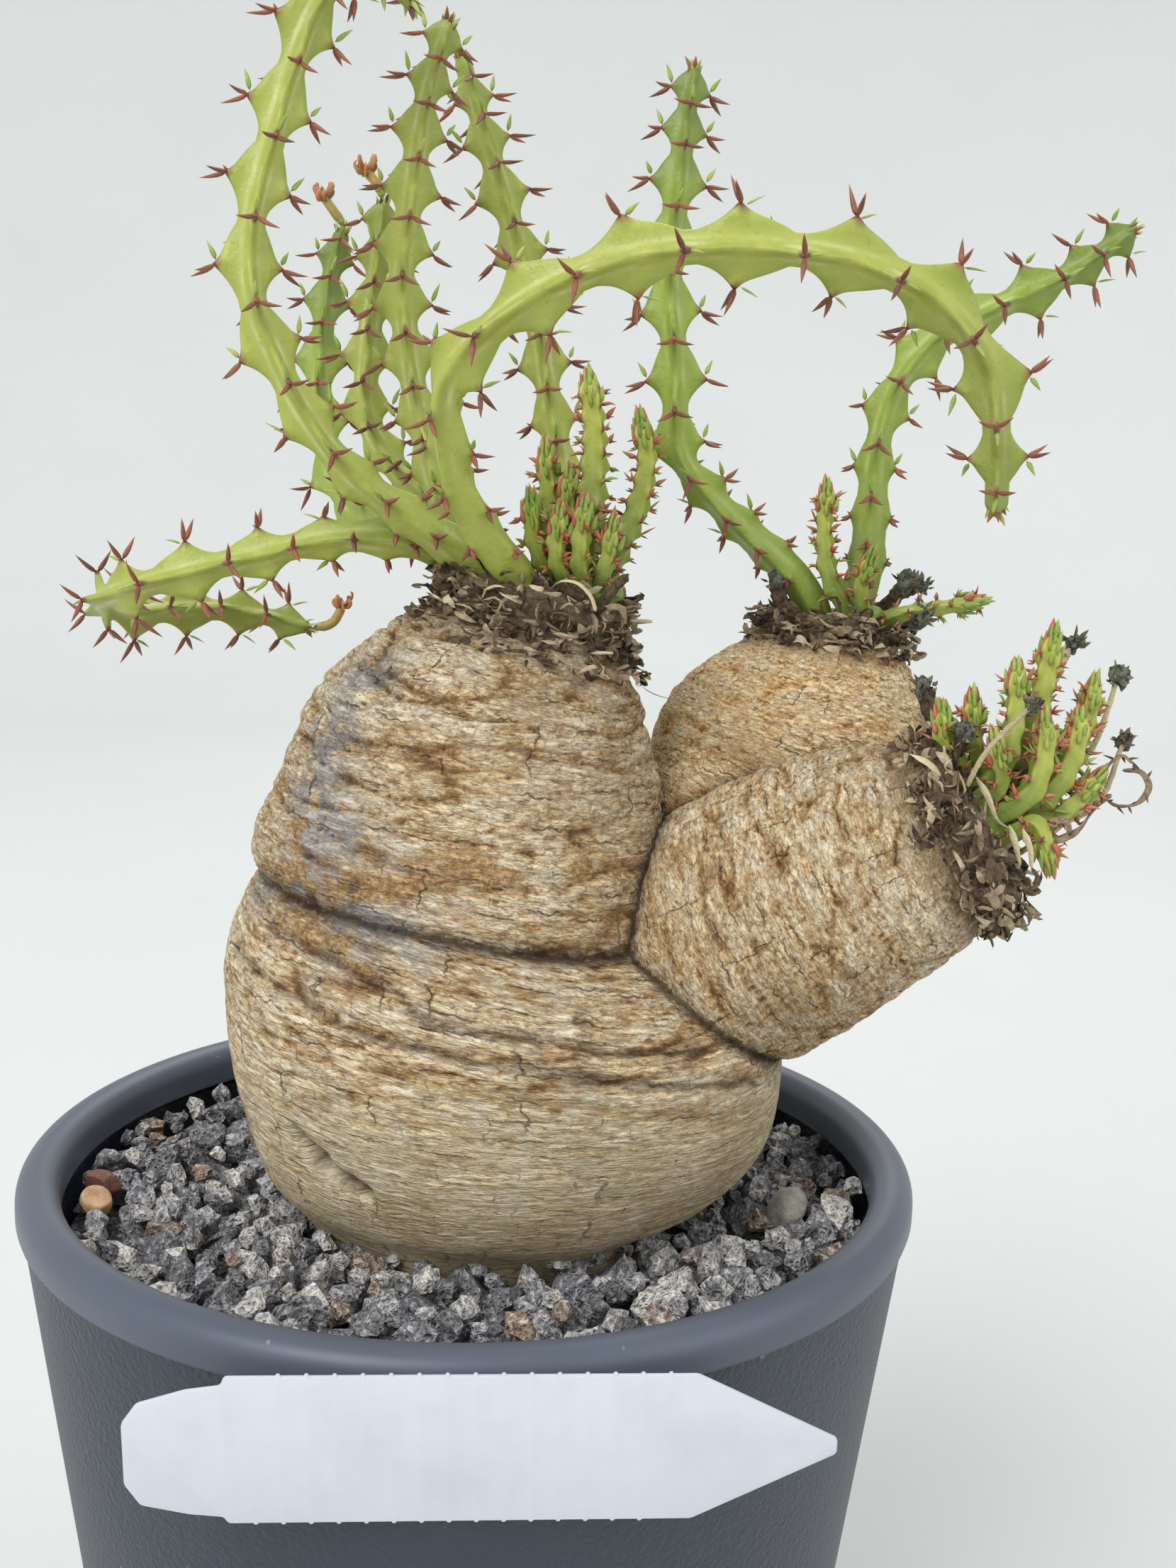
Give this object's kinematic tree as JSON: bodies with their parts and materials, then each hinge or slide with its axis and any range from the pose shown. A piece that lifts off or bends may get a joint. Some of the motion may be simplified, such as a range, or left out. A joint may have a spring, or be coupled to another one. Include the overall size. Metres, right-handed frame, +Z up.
{
  "type": "potted euphorbia decidua",
  "caption": "Succulent with a swollen bark-covered caudex in several lobes, crowned by thin spined stems, in a tapered round pot topped with lava gravel.",
  "frame": {"origin": "middle of the pot's underside, on the surface that it stands on", "axes": "+Z up along the pot's axis, -Y towards the front, where the label is, +X towards the leaning side lobe"},
  "size_m": [0.1467, 0.1216, 0.2678],
  "materials": {
    "pot_plastic": "charcoal blue-grey moulded plastic, fine leather grain on the wall and a smooth satin rim",
    "growing_mix": "dark moist potting mix",
    "lava": "dark blue-grey porous crushed lava, dry and matte",
    "pebble_tan": "worn tan pebble, matte",
    "pebble_rust": "rust red pebble, matte",
    "pebble_pale": "grey-tan pebble, matte",
    "caudex_bark": "dry cream and tan bark, finely wrinkled and cracked, with grey weathered patches",
    "dead_bark": "dark flaky dead bark, stubs and dried flower stalks",
    "stem_green": "waxy yellow-green stem with a paler middle and brown spine shields",
    "shoot_green": "waxy mid-green young shoot with reddish tips",
    "label_plastic": "thin white plastic sheet, smooth and bare",
    "pad_foam": "soft white adhesive foam"
  },
  "bodies": {
    "root": {"pot": "pot_plastic", "growing_mix": "growing_mix", "lava_gravel": "lava", "pebble_tan": "pebble_tan", "pebble_rust": "pebble_rust", "pebble_pale": "pebble_pale", "caudex": "caudex_bark", "collar_main": "dead_bark", "collar_back": "dead_bark", "collar_side": "dead_bark", "stem_left_tall": "stem_green", "stem_middle_left": "stem_green", "stem_middle_right": "stem_green", "stem_back_left": "stem_green", "stem_back_middle": "stem_green", "stem_front_arch": "stem_green", "stem_left_hairpin": "stem_green", "stem_back_crown_left": "stem_green", "stem_back_crown_right": "stem_green", "shoots_main_crown": "shoot_green", "shoots_back_crown": "shoot_green", "shoots_side_crown": "shoot_green", "plant_label": "label_plastic", "label_pad": "pad_foam"}
  },
  "joints": []
}
